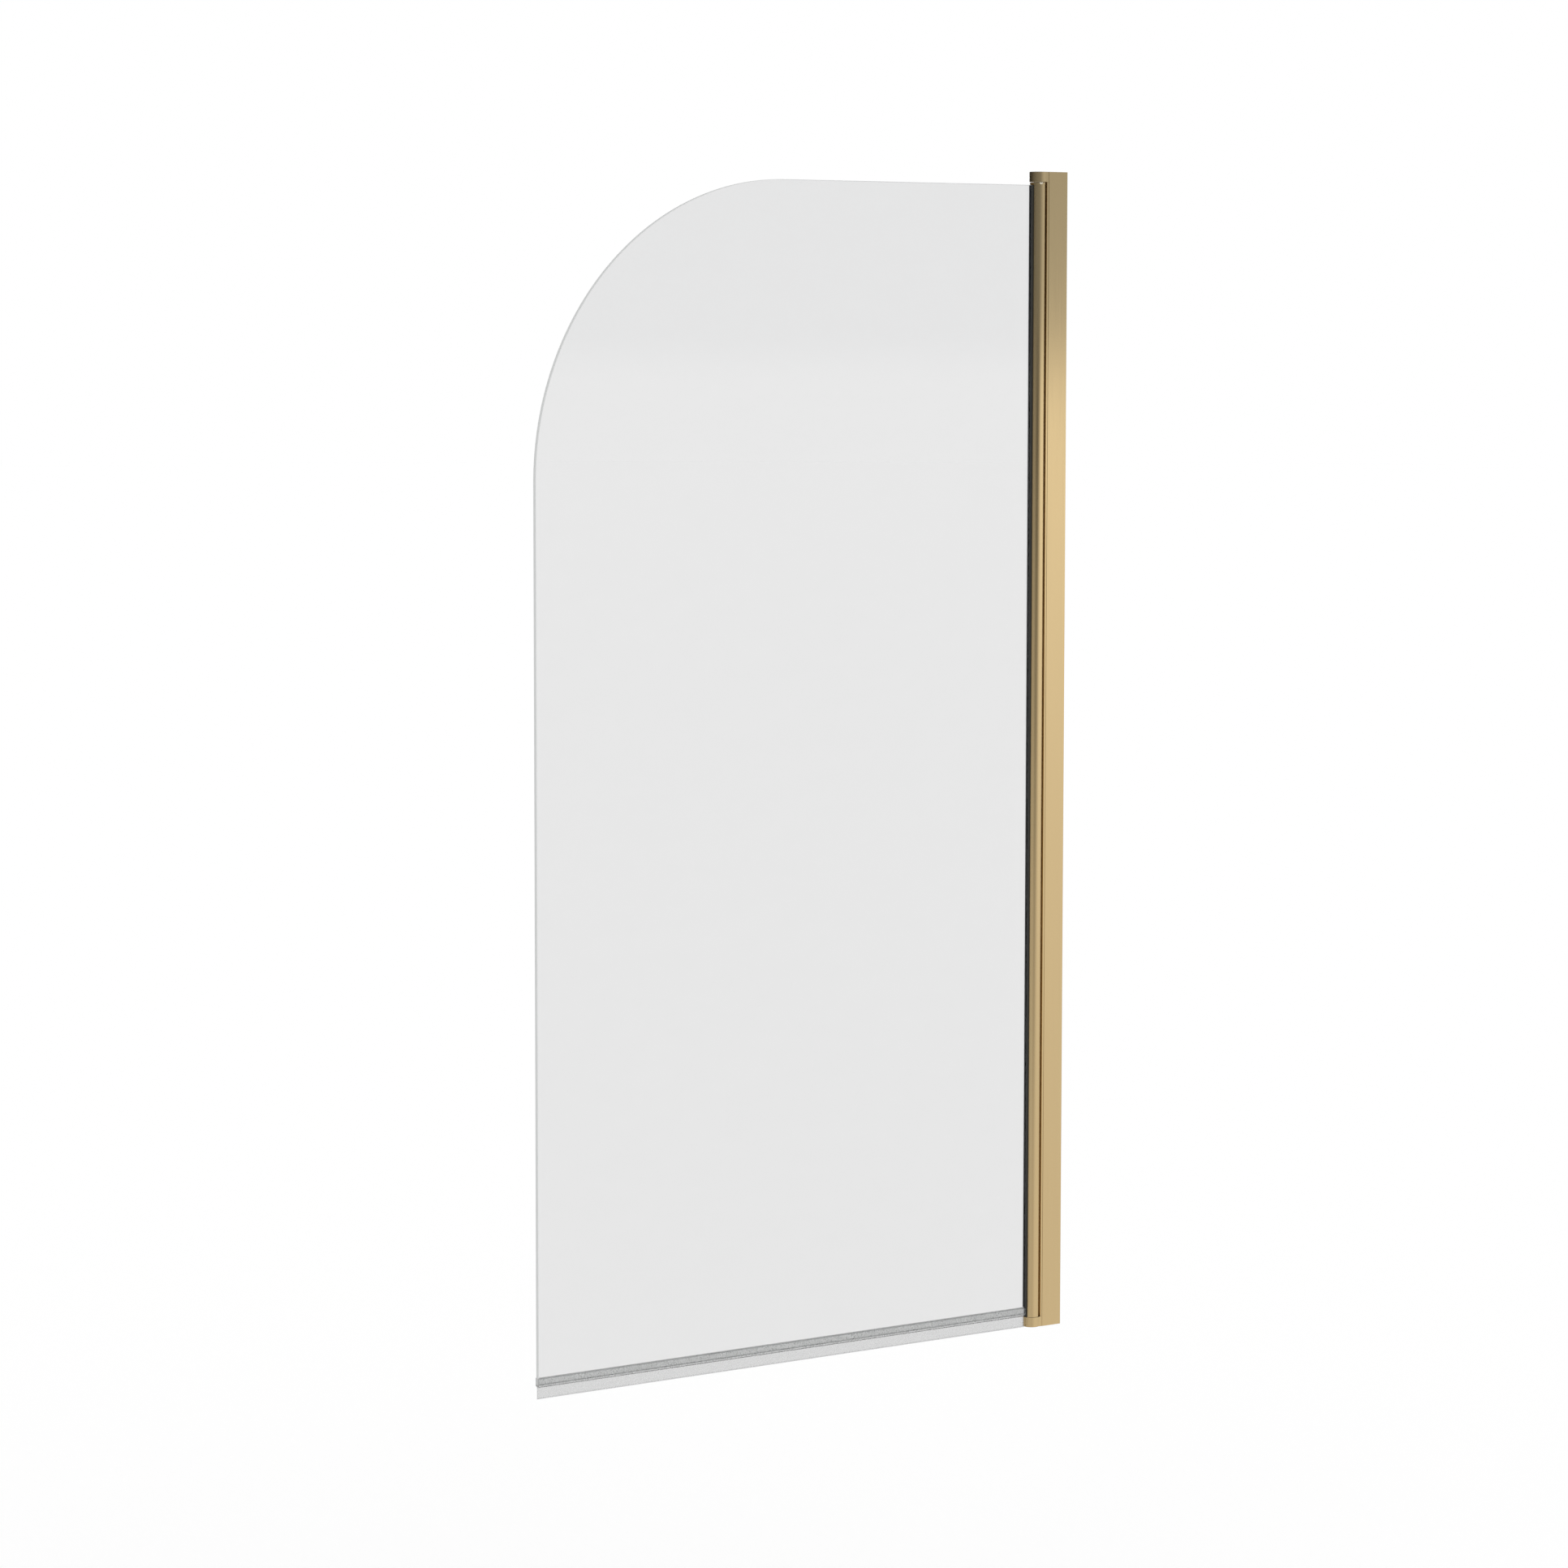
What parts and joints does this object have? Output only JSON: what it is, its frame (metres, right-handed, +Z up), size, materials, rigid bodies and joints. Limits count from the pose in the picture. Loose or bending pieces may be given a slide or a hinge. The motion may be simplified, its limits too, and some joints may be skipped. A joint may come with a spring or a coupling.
{
  "type": "bath screen",
  "caption": "Pivoting glass bath screen with one round top corner, a slotted pivot tube, a wall channel and a wiper seal along its lower edge.",
  "frame": {"origin": "wall face at the lower end of the wall channel, on the glass's middle plane", "axes": "+Z up along the wall channel, +X into the wall, so the glass runs towards -X; -Y is the side that the picture shows"},
  "size_m": [0.755, 0.0249, 1.4],
  "materials": {
    "brushed_brass": "brushed, anodised a warm brass tone",
    "stainless_steel": "plain stainless steel",
    "nylon": "natural cream nylon",
    "safety_glass": "clear toughened glass with ground edges",
    "black_rubber": "satin black",
    "seal_clip": "translucent grey PVC",
    "seal_fin": "soft clear PVC"
  },
  "bodies": {
    "wall_side": {"wall_channel": "brushed_brass", "channel_top_cap": "brushed_brass", "channel_bottom_cap": "brushed_brass", "clamp_screws": "stainless_steel", "clamp_nuts": "stainless_steel", "clamp_cup_washers": "brushed_brass", "clamp_screw_caps": "brushed_brass"},
    "post": {"hinge_post": "brushed_brass", "top_pivot_block": "brushed_brass", "bottom_pivot_block": "brushed_brass", "top_pivot_pin": "stainless_steel", "bottom_pivot_pin": "stainless_steel", "top_thrust_washer": "nylon", "bottom_thrust_washer": "nylon", "block_screws": "stainless_steel", "pin_grub_screws": "stainless_steel"},
    "leaf": {"pivot_tube": "brushed_brass", "top_tube_bush": "nylon", "bottom_tube_bush": "nylon", "glass_panel": "safety_glass", "front_gasket": "black_rubber", "back_gasket": "black_rubber", "glass_edge_packers": "black_rubber", "glass_setting_block": "black_rubber", "seal_clip": "seal_clip", "seal_fin": "seal_fin"}
  },
  "joints": [
    {"name": "width_adjust", "type": "slide", "parent": "wall_side", "child": "post", "axis": [-1, 0, 0], "range_m": [0, 0.012]},
    {"name": "leaf_pivot", "type": "hinge", "parent": "post", "child": "leaf", "pos_m": [-0.0384, 0, 0], "axis": [0, 0, 1], "range_deg": [-90, 90]}
  ]
}
